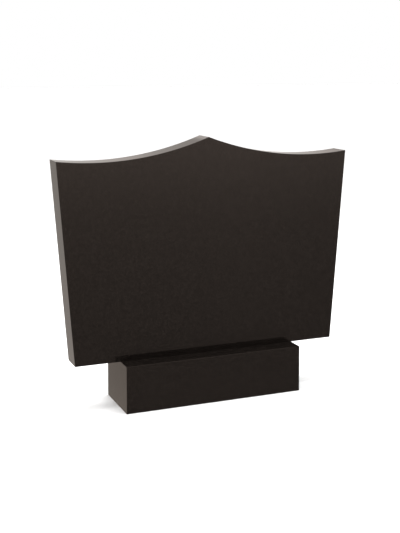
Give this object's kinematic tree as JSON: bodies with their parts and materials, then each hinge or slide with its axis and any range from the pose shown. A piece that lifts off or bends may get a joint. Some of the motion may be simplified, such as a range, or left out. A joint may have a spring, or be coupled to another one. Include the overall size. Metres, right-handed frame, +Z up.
{
  "type": "headstone",
  "caption": "Wide upright memorial slab of polished dark granite with two hollow curves rising to a central peak, standing on a plain rectangular plinth block.",
  "frame": {"origin": "middle of the plinth's underside, on the ground", "axes": "+Z up, the bare front face looks along -Y, the width runs along X"},
  "size_m": [0.9996, 0.2, 0.8493],
  "materials": {
    "polished_granite": "polished"
  },
  "bodies": {
    "root": {"headstone_slab": "polished_granite", "plinth": "polished_granite"}
  },
  "joints": []
}
